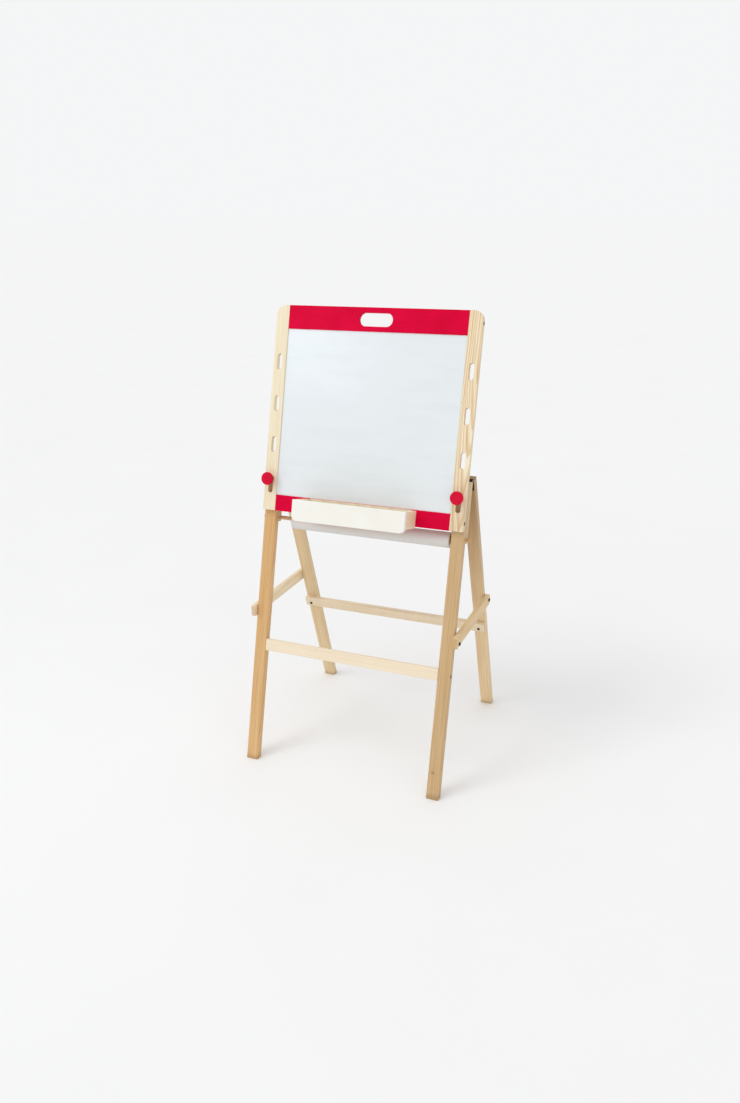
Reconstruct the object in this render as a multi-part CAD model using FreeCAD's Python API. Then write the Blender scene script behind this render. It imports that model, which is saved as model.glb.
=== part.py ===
import FreeCAD
import Part
import math
import os

# Folding wooden easel with a slotted board, in millimetres.
# X runs across the easel, +Y runs to the back and +Z is up.
# The origin lies on the floor in the middle of the four feet.

# ---- Driving dimensions --------------------------------------------------
WIDTH = 490.0             # over the outer faces of the legs and of the board
FRONT_LEAN = 15.6         # degrees that the front frame leans back
REAR_LEAN = 18.0          # degrees that the rear frame leans forward
HINGE_HEIGHT = 686.0      # hinge pins above the floor

LEG_WIDTH = 29.0
LEG_DEPTH = 18.0
BLOCK_DEPTH = 14.0        # spacer block behind the top of each front leg
BLOCK_BOTTOM = 583.0
EASE = 1.5                # rounding of the wood's long edges
SAW_ALLOWANCE = 20.0      # each leg is drawn this much longer, then sawn level

STRETCHER_DEPTH = 12.0
FRONT_STRETCHER = (272.5, 300.0)    # lower and upper edge along the leg
REAR_STRETCHER = (272.5, 298.5)
REAR_STRETCHER_BOLT = 282.0
REAR_TOP_RAIL = (674.0, 706.0)
RAIL_INSET = 10.0         # its ends stop short of the legs' outer faces

KNUCKLE_RADIUS = 4.0
PIN_RADIUS = 2.0
LEAF_THICKNESS = 2.0
LEAF_LENGTH = 28.0
LEAF_WIDTH = 26.0
KNUCKLE_WIDTH = 10.0      # the middle knuckle
KNUCKLE_GAP = 0.3
TOP_GAP = 3.0             # the legs' tops stop this far below the pin
HINGE_SCREW_DROP = 19.5   # below the pin
HINGE_SCREW_OFFSET = 7.0  # to each side of the leaf's middle

BRACE_THICKNESS = 10.0
BRACE_HEIGHT = 27.0
BRACE_REACH = 264.0       # pivot to front end
BRACE_RISE = 0.8          # degrees, front end up
BRACE_HOLE_HEIGHT = 350.0
PEG_HEIGHT = 346.0
NOTCH_SLANT = 34.0        # degrees from upright, opening down and to the back
NOTCH_GAP = 0.6           # room round the peg
WASHER_THICKNESS = 1.0
BRACE_WASHER_RADIUS = 8.0
PEG_DEPTH = 23.0          # into the front leg
SLEEVE_NUT = (4.5, 18.0)  # radius and length, in the rear leg
SLEEVE_ROOM = 0.5         # between the bolt's tip and the bore's end

BOARD_DEPTH = 12.0
STILE_WIDTH = 32.0
BOARD_BOTTOM = 610.0      # along the front legs
BOARD_TOP = 1082.0
TOP_RAIL_HEIGHT = 53.0
BOTTOM_RAIL_HEIGHT = 37.5
STILE_CORNER = 22.0
HAND_HOLE_LENGTH = 80.0
HAND_HOLE_HEIGHT = 30.0
SLOT_WIDTH = 12.0
SLOT_LENGTH = 36.0
SLOT_PITCH = 95.0
SLOT_COUNT = 4
TOP_SLOT = 953.8          # middle of the highest slot, along the stile

CORE_THICKNESS = 5.0
SHEET_THICKNESS = 0.5
PANEL_RECESS = 2.5        # panel face behind the stiles' front
GROOVE_DEPTH = 6.0
GROOVE_GAP = 0.1
PANEL_TONGUE = 5.5        # how far the panel enters its groove

BOLT_RADIUS = 3.0
RUNNING_GAP = 0.08        # radial room in every turning fit
FIXED_GAP = 0.05          # radial room round a fixed fastener
STUD_HEIGHT = 683.5       # the knobs' studs, along the front legs
KNOB_RADIUS = 15.0
KNOB_DEPTH = 6.0
KNOB_NECK = (6.5, 14.0)   # radius and depth
WASHER_RADIUS = 8.0
KNOB_WASHER = 1.5
LIGHT_TOUCH = 0.2         # gap between parts that only rest on each other

TRAY_WIDTH = 270.0
TRAY_REACH = 71.0         # out from the board's front
TRAY_TOP = 645.5
TRAY_BACK_TOP = 647.0
TRAY_FRONT_BOTTOM = 598.0
TRAY_FLOOR_BOTTOM = 606.5
TRAY_FRONT_DEPTH = 12.0
TRAY_BACK_DEPTH = 4.0
TRAY_WALL = 12.0
TRAY_FLOOR = 6.0
TRAY_CORNER = 12.0
TRAY_EASE = 1.0

DOWEL_RADIUS = 4.5
DOWEL_LENGTH = 514.0
DOWEL_CHAMFER = 1.0
DOWEL_HEIGHT = 592.0      # along the front legs
ROLL_RADIUS = 18.0
TUBE_OUTER = 12.0
TUBE_INNER = 10.0
ROLL_LENGTH = 390.0
ROLL_SHIFT = 15.0         # the roll sits a little to the right
TUBE_GAP = 0.3            # between the tube and the dowel it hangs on

# ---- Places worked out from them -----------------------------------------
ORIGIN = FreeCAD.Vector(0, 0, 0)
X_AXIS = FreeCAD.Vector(1, 0, 0)
Y_AXIS = FreeCAD.Vector(0, 1, 0)
Z_AXIS = FreeCAD.Vector(0, 0, 1)
SIDES = {"left": -1, "right": 1}

HALF = WIDTH / 2
LEG_INNER = HALF - LEG_WIDTH
LEG_MID = HALF - LEG_WIDTH / 2
DEPTH_MID = LEG_DEPTH / 2
STILE_INNER = HALF - STILE_WIDTH
STILE_MID = HALF - STILE_WIDTH / 2
BLOCK_BACK = LEG_DEPTH + BLOCK_DEPTH
FRONT_SINE = math.sin(math.radians(FRONT_LEAN))
FRONT_COSINE = math.cos(math.radians(FRONT_LEAN))
REAR_SINE = math.sin(math.radians(REAR_LEAN))
REAR_COSINE = math.cos(math.radians(REAR_LEAN))

# Both frames are drawn upright, with y = 0 on the legs' front face and z = 0
# at the floor, and then leaned. The hinge pin fixes how far apart they stand.
PIN_BACK = BLOCK_BACK + KNUCKLE_RADIUS
FRONT_PIN = (HINGE_HEIGHT + PIN_BACK * FRONT_SINE) / FRONT_COSINE
REAR_PIN = (HINGE_HEIGHT + KNUCKLE_RADIUS * REAR_SINE) / REAR_COSINE
FRONT_TOP = FRONT_PIN - TOP_GAP
REAR_TOP = REAR_PIN - TOP_GAP
FRONT_RUN = PIN_BACK * FRONT_COSINE + FRONT_PIN * FRONT_SINE
REAR_RUN = KNUCKLE_RADIUS * REAR_COSINE + REAR_PIN * REAR_SINE
REAR_FOOT = LEG_DEPTH / REAR_COSINE
PIN_Y = (FRONT_RUN - REAR_RUN - REAR_FOOT) / 2
FRONT_Y = PIN_Y - FRONT_RUN
REAR_Y = PIN_Y + REAR_RUN

PEG_ALONG = (PEG_HEIGHT + DEPTH_MID * FRONT_SINE) / FRONT_COSINE
PEG_Y = FRONT_Y + DEPTH_MID * FRONT_COSINE + PEG_ALONG * FRONT_SINE
PIVOT_ALONG = (BRACE_HOLE_HEIGHT - DEPTH_MID * REAR_SINE) / REAR_COSINE
PIVOT_Y = REAR_Y + DEPTH_MID * REAR_COSINE - PIVOT_ALONG * REAR_SINE
BRACE_INNER = HALF + WASHER_THICKNESS
BRACE_OUTER = BRACE_INNER + BRACE_THICKNESS

BOTTOM_RAIL_TOP = BOARD_BOTTOM + BOTTOM_RAIL_HEIGHT
TOP_RAIL_BOTTOM = BOARD_TOP - TOP_RAIL_HEIGHT
PANEL_FRONT = -BOARD_DEPTH + PANEL_RECESS
PANEL_BACK = PANEL_FRONT + CORE_THICKNESS + 2 * SHEET_THICKNESS
RAIL_SCREWS = (BOARD_BOTTOM + BOTTOM_RAIL_HEIGHT / 2, BOARD_TOP - TOP_RAIL_HEIGHT / 2)

# Fasteners, each as shank radius, shank length, head radius, head depth
FRAME_SCREW = (2.5, 60.0, 4.5, 3.0)
SMALL_SCREW = (1.6, 14.0, 3.2, 1.8)
BLOCK_SCREW = (2.0, 28.0, 4.0, 2.4)
RAIL_SCREW = (2.0, 26.0, 4.0, 2.4)
TRAY_SCREW = (2.0, 36.0, 4.0, 2.4)
BLOCK_SCREW_HEIGHT = 642.0
JOINT_BOLT = (BOLT_RADIUS, 62.0, 4.5, 4.0)
BARREL_RADIUS = 5.0
BARREL_LENGTH = 10.0
BARREL_INSET = 20.0
TEE_BARREL = (4.0, 11.0)
TEE_FLANGE = (9.0, 1.5)
STUD_OVERRUN = 3.0
BUTTON_HEAD = (3.3, 2.0)
PEG_HEAD = (4.2, 2.3)
NUT_RADIUS = 5.8
NUT_DEPTH = 5.0


# ---- Making, joining and placing solids ----------------------------------
def block(x, y, z):
    """Box between two x, two y and two z values."""
    low = FreeCAD.Vector(min(x), min(y), min(z))
    return Part.makeBox(abs(x[1] - x[0]), abs(y[1] - y[0]), abs(z[1] - z[0]), low)


def rod(radius, start, direction, length):
    """Cylinder from a start point along a direction."""
    return Part.makeCylinder(radius, length, FreeCAD.Vector(*start), direction)


def ring(outer, inner, start, direction, length):
    """Tube or washer."""
    return rod(outer, start, direction, length).cut(rod(inner, start, direction, length))


def edges_along(shape, axis):
    """Straight edges of a shape that run along one axis."""
    found = []
    for edge in shape.Edges:
        if edge.Curve.TypeId == "Part::GeomLine":
            if abs(edge.tangentAt(edge.FirstParameter).dot(axis)) > 0.999999:
                found.append(edge)
    return found


def eased(shape, axis, radius=EASE):
    """Round the straight edges that run along one axis."""
    return shape.makeFillet(radius, edges_along(shape, axis))


def edges_on_faces(shape, levels):
    """Edges that lie wholly at one of the given y levels."""
    found = []
    for edge in shape.Edges:
        box = edge.BoundBox
        for level in levels:
            if abs(box.YMin - level) < 0.001 and abs(box.YMax - level) < 0.001:
                found.append(edge)
    return found


def on_front(shape):
    """Lean an upright shape onto the front frame."""
    shape.rotate(ORIGIN, X_AXIS, -FRONT_LEAN)
    shape.translate(FreeCAD.Vector(0, FRONT_Y, 0))
    return shape


def on_rear(shape):
    """Lean an upright shape onto the rear frame."""
    shape.rotate(ORIGIN, X_AXIS, REAR_LEAN)
    shape.translate(FreeCAD.Vector(0, REAR_Y, 0))
    return shape


def above_floor(shape):
    """Saw a leaning leg level with the floor."""
    reach = (-WIDTH, WIDTH)
    return shape.cut(block(reach, reach, (-2 * SAW_ALLOWANCE, 0)))


def span(side, first, second):
    """Two x values on one side of the easel."""
    return (SIDES[side] * first, SIDES[side] * second)


def inward(side):
    """Direction from one side towards the middle."""
    return X_AXIS * -SIDES[side]


def set_at(shape, point, direction):
    """Set a fastener with its head at a point and its shank along a direction."""
    turn = FreeCAD.Rotation(FreeCAD.Vector(0, 0, -1), direction)
    shape.Placement = FreeCAD.Placement(FreeCAD.Vector(*point), turn)
    return shape


def screw(size):
    """Countersunk screw with a cross recess, head face at z = 0."""
    shank, length, head, depth = size
    cone = Part.makeCone(shank, head, depth, FreeCAD.Vector(0, 0, -depth), Z_AXIS)
    body = cone.fuse(rod(shank, (0, 0, -depth), -Z_AXIS, length - depth)).removeSplitter()
    arm = head * 0.55
    width = head * 0.12
    recess = depth * 0.6
    first = block((-arm, arm), (-width, width), (-recess, 1))
    second = block((-width, width), (-arm, arm), (-recess, 1))
    return body.cut([first, second])


def screw_hole(size, gap=FIXED_GAP):
    """The hole that a countersunk screw fills."""
    shank, length, head, depth = size
    cone = Part.makeCone(shank + gap, head + gap, depth, FreeCAD.Vector(0, 0, -depth), Z_AXIS)
    shank_hole = rod(shank + gap, (0, 0, -depth), -Z_AXIS, length - depth + 1)
    return cone.fuse(shank_hole).removeSplitter()


def socket_bolt(size):
    """Cylinder-head bolt with a hexagon socket, head face at z = 0."""
    shank, length, head, depth = size
    body = rod(head, (0, 0, 0), -Z_AXIS, depth).fuse(rod(shank, (0, 0, -depth), -Z_AXIS, length - depth))
    return body.removeSplitter().cut(hexagon(head * 0.55, -depth * 0.6, 1))


def socket_bolt_hole(size):
    """Counterbored hole for a socket bolt."""
    shank, length, head, depth = size
    wide = rod(head + FIXED_GAP, (0, 0, 1), -Z_AXIS, depth + 1)
    return wide.fuse(rod(shank + FIXED_GAP, (0, 0, 0), -Z_AXIS, length + 1)).removeSplitter()


def hexagon(radius, bottom, top):
    """Six-sided prism about the z axis."""
    corners = []
    for corner in range(7):
        angle = math.radians(60 * corner)
        corners.append(FreeCAD.Vector(radius * math.cos(angle), radius * math.sin(angle), bottom))
    return Part.Face(Part.makePolygon(corners)).extrude(Z_AXIS * (top - bottom))


def button_bolt(shank, length, head_radius, head_depth):
    """Domed bolt, the head's underside at z = 0 and the shank below it."""
    dome = rod(head_radius, (0, 0, 0), Z_AXIS, head_depth)
    top = [edge for edge in dome.Edges if edge.BoundBox.ZMin > head_depth - 0.001]
    dome = dome.makeFillet(head_depth * 0.6, top)
    body = dome.fuse(rod(shank, (0, 0, 0), -Z_AXIS, length)).removeSplitter()
    return body.cut(hexagon(head_radius * 0.45, head_depth * 0.4, head_depth + 1))


def nut(bore):
    """Hexagon nut standing on z = 0, with a plain bore."""
    body = hexagon(NUT_RADIUS, 0, NUT_DEPTH)
    return body.cut(rod(bore, (0, 0, -1), Z_AXIS, NUT_DEPTH + 2))


def save(node, shape):
    """Write one sub-part; a list is one node of several separate pieces."""
    if isinstance(shape, list):
        shape = Part.makeCompound(shape)
    shape.exportStep("parts/" + node + ".step")


# ---- Front frame ---------------------------------------------------------
STRETCHER_MID = sum(FRONT_STRETCHER) / 2


def stretcher_bolt_point(side):
    """Outer face of the leg, level with the front stretcher."""
    return (SIDES[side] * HALF, STRETCHER_DEPTH / 2, STRETCHER_MID)


def block_screw_point(side):
    """Back face of the spacer block."""
    return (SIDES[side] * LEG_MID, BLOCK_BACK, BLOCK_SCREW_HEIGHT)


def stud_hole(side, depth):
    """Running bore for the knob's stud through the leg and its block."""
    return rod(BOLT_RADIUS + RUNNING_GAP, (SIDES[side] * STILE_MID, -1, STUD_HEIGHT), Y_AXIS, depth + 1)


def front_leg(side):
    """Straight pine leg, sawn level at the foot and drilled for its fasteners."""
    leg = eased(block(span(side, LEG_INNER, HALF), (0, LEG_DEPTH), (-SAW_ALLOWANCE, FRONT_TOP)), Z_AXIS)
    peg_start = (SIDES[side] * (HALF + 1), DEPTH_MID, PEG_ALONG)
    holes = [
        set_at(socket_bolt_hole(JOINT_BOLT), stretcher_bolt_point(side), inward(side)),
        stud_hole(side, LEG_DEPTH + 1),
        rod(BOLT_RADIUS + FIXED_GAP, peg_start, inward(side), PEG_DEPTH + 2),
        set_at(screw_hole(BLOCK_SCREW), block_screw_point(side), -Y_AXIS),
    ]
    return above_floor(on_front(leg.cut(holes)))


def front_stretcher():
    """Cross bar between the front legs, flush with their front."""
    bar = block((-LEG_INNER, LEG_INNER), (0, STRETCHER_DEPTH), FRONT_STRETCHER)
    bar = eased(bar, X_AXIS)
    holes = []
    for side in SIDES:
        holes.append(set_at(socket_bolt_hole(JOINT_BOLT), stretcher_bolt_point(side), inward(side)))
        holes.append(barrel_nut_blank(side, FIXED_GAP))
    return on_front(bar.cut(holes))


def barrel_nut_blank(side, gap):
    """Cross dowel let into the back of the stretcher."""
    start = (SIDES[side] * (LEG_INNER - BARREL_INSET), STRETCHER_DEPTH, STRETCHER_MID)
    return rod(BARREL_RADIUS + gap, start, -Y_AXIS, BARREL_LENGTH)


def barrel_nuts():
    """Steel cross dowels that the stretcher bolts screw into."""
    nuts = []
    for side in SIDES:
        start = (SIDES[side] * LEG_INNER, STRETCHER_DEPTH / 2, STRETCHER_MID)
        bore = rod(BOLT_RADIUS + FIXED_GAP, start, inward(side), 2 * BARREL_INSET)
        nuts.append(on_front(barrel_nut_blank(side, 0).cut(bore)))
    return nuts


def stretcher_bolts():
    """Socket bolts through the legs into the stretcher."""
    bolts = []
    for side in SIDES:
        bolt = set_at(socket_bolt(JOINT_BOLT), stretcher_bolt_point(side), inward(side))
        bolts.append(on_front(bolt))
    return bolts


def spacer_block(side):
    """Block behind the leg's top; it carries the hinge, the stud and the paper dowel."""
    body = block(span(side, LEG_INNER, HALF), (LEG_DEPTH, BLOCK_BACK), (BLOCK_BOTTOM, FRONT_TOP))
    body = eased(body, Z_AXIS)
    dowel_y = LEG_DEPTH + BLOCK_DEPTH / 2
    dowel_start = (SIDES[side] * (HALF + 1), dowel_y, DOWEL_HEIGHT)
    tee_start = (SIDES[side] * STILE_MID, BLOCK_BACK, STUD_HEIGHT)
    holes = [
        rod(DOWEL_RADIUS + RUNNING_GAP, dowel_start, inward(side), LEG_WIDTH + 2),
        rod(TEE_BARREL[0] + FIXED_GAP, tee_start, -Y_AXIS, TEE_BARREL[1]),
        stud_hole(side, BLOCK_BACK + 1),
        set_at(screw_hole(BLOCK_SCREW), block_screw_point(side), -Y_AXIS),
    ]
    for point in hinge_screw_points(side, FRONT_PIN, BLOCK_BACK + LEAF_THICKNESS):
        holes.append(set_at(screw_hole(SMALL_SCREW), point, -Y_AXIS))
    return on_front(body.cut(holes))


def block_screws():
    """One long screw through each spacer block into its leg."""
    return [on_front(set_at(screw(BLOCK_SCREW), block_screw_point(side), -Y_AXIS)) for side in SIDES]


def tee_nut(side):
    """Flanged nut let into the back of the block for the knob's stud."""
    x = SIDES[side] * STILE_MID
    bore = BOLT_RADIUS + RUNNING_GAP
    flange = ring(TEE_FLANGE[0], bore, (x, BLOCK_BACK, STUD_HEIGHT), Y_AXIS, TEE_FLANGE[1])
    barrel = ring(TEE_BARREL[0], bore, (x, BLOCK_BACK, STUD_HEIGHT), -Y_AXIS, TEE_BARREL[1])
    return on_front(flange.fuse(barrel).removeSplitter())


def brace_peg(side):
    """Headed peg in the front leg's outer face that the brace hooks over."""
    reach = WASHER_THICKNESS + BRACE_THICKNESS + 2 * LIGHT_TOUCH
    point = (SIDES[side] * (HALF + reach), DEPTH_MID, PEG_ALONG)
    peg = button_bolt(BOLT_RADIUS, reach + PEG_DEPTH, PEG_HEAD[0], PEG_HEAD[1])
    return on_front(set_at(peg, point, inward(side)))


# ---- Hinges --------------------------------------------------------------
def hinge_screw_points(side, pin, face):
    """Two screws in a leaf, one each side of its middle line."""
    middle = SIDES[side] * LEG_MID
    height = pin - HINGE_SCREW_DROP
    return [(middle + offset, face, height) for offset in (-HINGE_SCREW_OFFSET, HINGE_SCREW_OFFSET)]


def hinge_leaf(side, plate, pin_y, pin_z, has_middle_knuckle):
    """Plate with knuckles rolled round the pin, drawn upright."""
    middle = SIDES[side] * LEG_MID
    left = middle - LEAF_WIDTH / 2
    right = middle + LEAF_WIDTH / 2
    half_knuckle = KNUCKLE_WIDTH / 2
    inner_left = middle - half_knuckle
    inner_right = middle + half_knuckle
    body = block((left, right), plate, (pin_z - LEAF_LENGTH, pin_z))
    outer_spans = [(left, inner_left), (inner_right, right)]
    inner_span = (inner_left + KNUCKLE_GAP, inner_right - KNUCKLE_GAP)
    own = [inner_span] if has_middle_knuckle else outer_spans
    room = outer_spans if has_middle_knuckle else [(inner_left, inner_right)]
    for first, last in own:
        body = body.fuse(rod(KNUCKLE_RADIUS, (first, pin_y, pin_z), X_AXIS, last - first))
    cuts = [rod(PIN_RADIUS + RUNNING_GAP, (left - 1, pin_y, pin_z), X_AXIS, LEAF_WIDTH + 2)]
    for first, last in room:
        cuts.append(rod(KNUCKLE_RADIUS + 2 * KNUCKLE_GAP, (first, pin_y, pin_z), X_AXIS, last - first))
    if has_middle_knuckle:
        for first, last in ((inner_left, inner_span[0]), (inner_span[1], inner_right)):
            cuts.append(rod(KNUCKLE_RADIUS + 2 * KNUCKLE_GAP, (first, pin_y, pin_z), X_AXIS, last - first))
    return body.removeSplitter().cut(cuts)


def front_leaf(side):
    """Leaf screwed to the back of the spacer block."""
    plate = (BLOCK_BACK, BLOCK_BACK + LEAF_THICKNESS)
    leaf = hinge_leaf(side, plate, PIN_BACK, FRONT_PIN, False)
    points = hinge_screw_points(side, FRONT_PIN, plate[1])
    return on_front(leaf.cut([set_at(screw_hole(SMALL_SCREW), point, -Y_AXIS) for point in points]))


def rear_leaf(side):
    """Leaf screwed to the front of the rear leg."""
    plate = (-LEAF_THICKNESS, 0)
    leaf = hinge_leaf(side, plate, -KNUCKLE_RADIUS, REAR_PIN, True)
    points = hinge_screw_points(side, REAR_PIN, plate[0])
    return on_rear(leaf.cut([set_at(screw_hole(SMALL_SCREW), point, Y_AXIS) for point in points]))


def hinge_pin(side):
    """Steel pin through all the knuckles of one hinge."""
    start = (SIDES[side] * LEG_MID - LEAF_WIDTH / 2, PIN_BACK, FRONT_PIN)
    return on_front(rod(PIN_RADIUS, start, X_AXIS, LEAF_WIDTH))


def hinge_screws(pin, face, direction, lean):
    """The four small screws of one frame's two leaves."""
    screws = []
    for side in SIDES:
        for point in hinge_screw_points(side, pin, face):
            screws.append(lean(set_at(screw(SMALL_SCREW), point, direction)))
    return screws


# ---- Rear frame ----------------------------------------------------------
RAIL_SCREW_EDGE = 8.0
RAIL_SCREW_HEIGHTS = (REAR_TOP_RAIL[0] + RAIL_SCREW_EDGE, REAR_TOP_RAIL[1] - RAIL_SCREW_EDGE)


def stretcher_bolt_front(side):
    """Front face of the rear stretcher, over the middle of a leg."""
    return (SIDES[side] * LEG_MID, -STRETCHER_DEPTH, REAR_STRETCHER_BOLT)


def through_hole(side):
    """Hole for the rear stretcher's bolt through bar and leg."""
    x, y, z = stretcher_bolt_front(side)
    return rod(BOLT_RADIUS + FIXED_GAP, (x, y - 1, z), Y_AXIS, STRETCHER_DEPTH + LEG_DEPTH + 2)


def rail_screw_points(side):
    """Back face of the top rail, two over each leg."""
    x = SIDES[side] * LEG_MID
    return [(x, LEG_DEPTH + STRETCHER_DEPTH, height) for height in RAIL_SCREW_HEIGHTS]


def rear_leg(side):
    """Straight pine leg, sawn level at the foot and drilled for its fasteners."""
    leg = eased(block(span(side, LEG_INNER, HALF), (0, LEG_DEPTH), (-SAW_ALLOWANCE, REAR_TOP)), Z_AXIS)
    sleeve_radius, sleeve_length = SLEEVE_NUT
    pivot_start = (SIDES[side] * (HALF + 1), DEPTH_MID, PIVOT_ALONG)
    holes = [
        through_hole(side),
        rod(sleeve_radius + FIXED_GAP, pivot_start, inward(side), sleeve_length + 1),
    ]
    for point in rail_screw_points(side):
        holes.append(set_at(screw_hole(RAIL_SCREW), point, -Y_AXIS))
    for point in hinge_screw_points(side, REAR_PIN, -LEAF_THICKNESS):
        holes.append(set_at(screw_hole(SMALL_SCREW), point, Y_AXIS))
    return above_floor(on_rear(leg.cut(holes)))


def rear_stretcher():
    """Cross bar bolted on the front of the rear legs."""
    bar = block((-HALF, HALF), (-STRETCHER_DEPTH, 0), REAR_STRETCHER)
    return on_rear(eased(bar, X_AXIS).cut([through_hole(side) for side in SIDES]))


def rear_stretcher_bolts():
    """Domed bolts through the rear stretcher and the legs."""
    bolts = []
    for side in SIDES:
        length = STRETCHER_DEPTH + LEG_DEPTH + NUT_DEPTH
        bolt = button_bolt(BOLT_RADIUS, length, BUTTON_HEAD[0], BUTTON_HEAD[1])
        bolts.append(on_rear(set_at(bolt, stretcher_bolt_front(side), Y_AXIS)))
    return bolts


def rear_stretcher_nuts():
    """Nuts behind the rear legs."""
    nuts = []
    for side in SIDES:
        point = (SIDES[side] * LEG_MID, LEG_DEPTH, REAR_STRETCHER_BOLT)
        nuts.append(on_rear(set_at(nut(BOLT_RADIUS + FIXED_GAP), point, -Y_AXIS)))
    return nuts


def rear_top_rail():
    """Cross bar screwed to the back of the rear legs, just under the hinges."""
    reach = HALF - RAIL_INSET
    bar = block((-reach, reach), (LEG_DEPTH, LEG_DEPTH + STRETCHER_DEPTH), REAR_TOP_RAIL)
    holes = []
    for side in SIDES:
        for point in rail_screw_points(side):
            holes.append(set_at(screw_hole(RAIL_SCREW), point, -Y_AXIS))
    return on_rear(eased(bar, X_AXIS).cut(holes))


def rear_rail_screws():
    """Four wood screws of the rear top rail."""
    screws = []
    for side in SIDES:
        for point in rail_screw_points(side):
            screws.append(on_rear(set_at(screw(RAIL_SCREW), point, -Y_AXIS)))
    return screws


# ---- Braces --------------------------------------------------------------
BRACE_CORNER = 3.0
BRACE_EASE = 1.0


def brace(side):
    """Flat bar that turns on the rear leg and hooks over a peg on the front leg."""
    half_height = BRACE_HEIGHT / 2
    x = span(side, BRACE_INNER, BRACE_OUTER)
    bar = block(x, (-BRACE_REACH, 0), (-half_height, half_height))
    front = [edge for edge in edges_along(bar, X_AXIS) if edge.BoundBox.YMax < -BRACE_REACH + 1]
    bar = bar.makeFillet(BRACE_CORNER, front)
    bar = bar.fuse(rod(half_height, (min(x), 0, 0), X_AXIS, BRACE_THICKNESS)).removeSplitter()
    bar = eased(bar, Y_AXIS, BRACE_EASE)
    bar.rotate(ORIGIN, X_AXIS, -BRACE_RISE)
    bar.translate(FreeCAD.Vector(0, PIVOT_Y, BRACE_HOLE_HEIGHT))
    start = min(x) - 1
    length = BRACE_THICKNESS + 2
    pivot = rod(BOLT_RADIUS + RUNNING_GAP, (start, PIVOT_Y, BRACE_HOLE_HEIGHT), X_AXIS, length)
    seat_radius = BOLT_RADIUS + NOTCH_GAP
    seat = rod(seat_radius, (start, 0, 0), X_AXIS, length)
    mouth = block((start, start + length), (-seat_radius, seat_radius), (-BRACE_HEIGHT, 0))
    notch = seat.fuse(mouth).removeSplitter()
    notch.rotate(ORIGIN, X_AXIS, NOTCH_SLANT)
    notch.translate(FreeCAD.Vector(0, PEG_Y, PEG_HEIGHT))
    return bar.cut([pivot, notch])


def brace_washers():
    """Thin washers between the braces and the rear legs."""
    washers = []
    for side in SIDES:
        start = (SIDES[side] * HALF, DEPTH_MID, PIVOT_ALONG)
        depth = WASHER_THICKNESS - LIGHT_TOUCH
        washer = ring(BRACE_WASHER_RADIUS, BOLT_RADIUS + FIXED_GAP, start, -inward(side), depth)
        washers.append(on_rear(washer))
    return washers


def brace_pivot_bolts():
    """Domed bolts that the braces turn on."""
    bolts = []
    for side in SIDES:
        reach = BRACE_OUTER + LIGHT_TOUCH
        length = reach - HALF + SLEEVE_NUT[1] - SLEEVE_ROOM
        bolt = button_bolt(BOLT_RADIUS, length, PEG_HEAD[0], PEG_HEAD[1])
        bolts.append(on_rear(set_at(bolt, (SIDES[side] * reach, DEPTH_MID, PIVOT_ALONG), inward(side))))
    return bolts


def brace_pivot_nuts():
    """Sleeve nuts let into the outer faces of the rear legs."""
    radius, length = SLEEVE_NUT
    nuts = []
    for side in SIDES:
        start = (SIDES[side] * HALF, DEPTH_MID, PIVOT_ALONG)
        sleeve = rod(radius, start, inward(side), length)
        nuts.append(on_rear(sleeve.cut(rod(BOLT_RADIUS + FIXED_GAP, start, inward(side), length))))
    return nuts


# ---- Board ---------------------------------------------------------------
BOARD_FACES = (-BOARD_DEPTH, 0)
GROOVE = (PANEL_FRONT - GROOVE_GAP, PANEL_BACK + GROOVE_GAP)
BOARD_EASE = 1.2
HAND_HOLE_EASE = 2.0
STILE_FOOT_CORNER = 3.0


def frame_screw_points(side):
    """Outer edge of the stile, level with the middle of each rail."""
    return [(SIDES[side] * HALF, -BOARD_DEPTH / 2, height) for height in RAIL_SCREWS]


def frame_screw_holes():
    """Holes of all four frame screws."""
    holes = []
    for side in SIDES:
        for point in frame_screw_points(side):
            holes.append(set_at(screw_hole(FRAME_SCREW), point, inward(side)))
    return holes


def oblong(x, z, length, width, upright):
    """Cutter for a slot with round ends through the board."""
    radius = width / 2
    straight = length / 2 - radius
    depth = (-BOARD_DEPTH - 1, 1)
    if upright:
        core = block((x - radius, x + radius), depth, (z - straight, z + straight))
        ends = [(x, z - straight), (x, z + straight)]
    else:
        core = block((x - straight, x + straight), depth, (z - radius, z + radius))
        ends = [(x - straight, z), (x + straight, z)]
    for end_x, end_z in ends:
        core = core.fuse(rod(radius, (end_x, depth[0], end_z), Y_AXIS, BOARD_DEPTH + 2))
    return core.removeSplitter()


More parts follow.
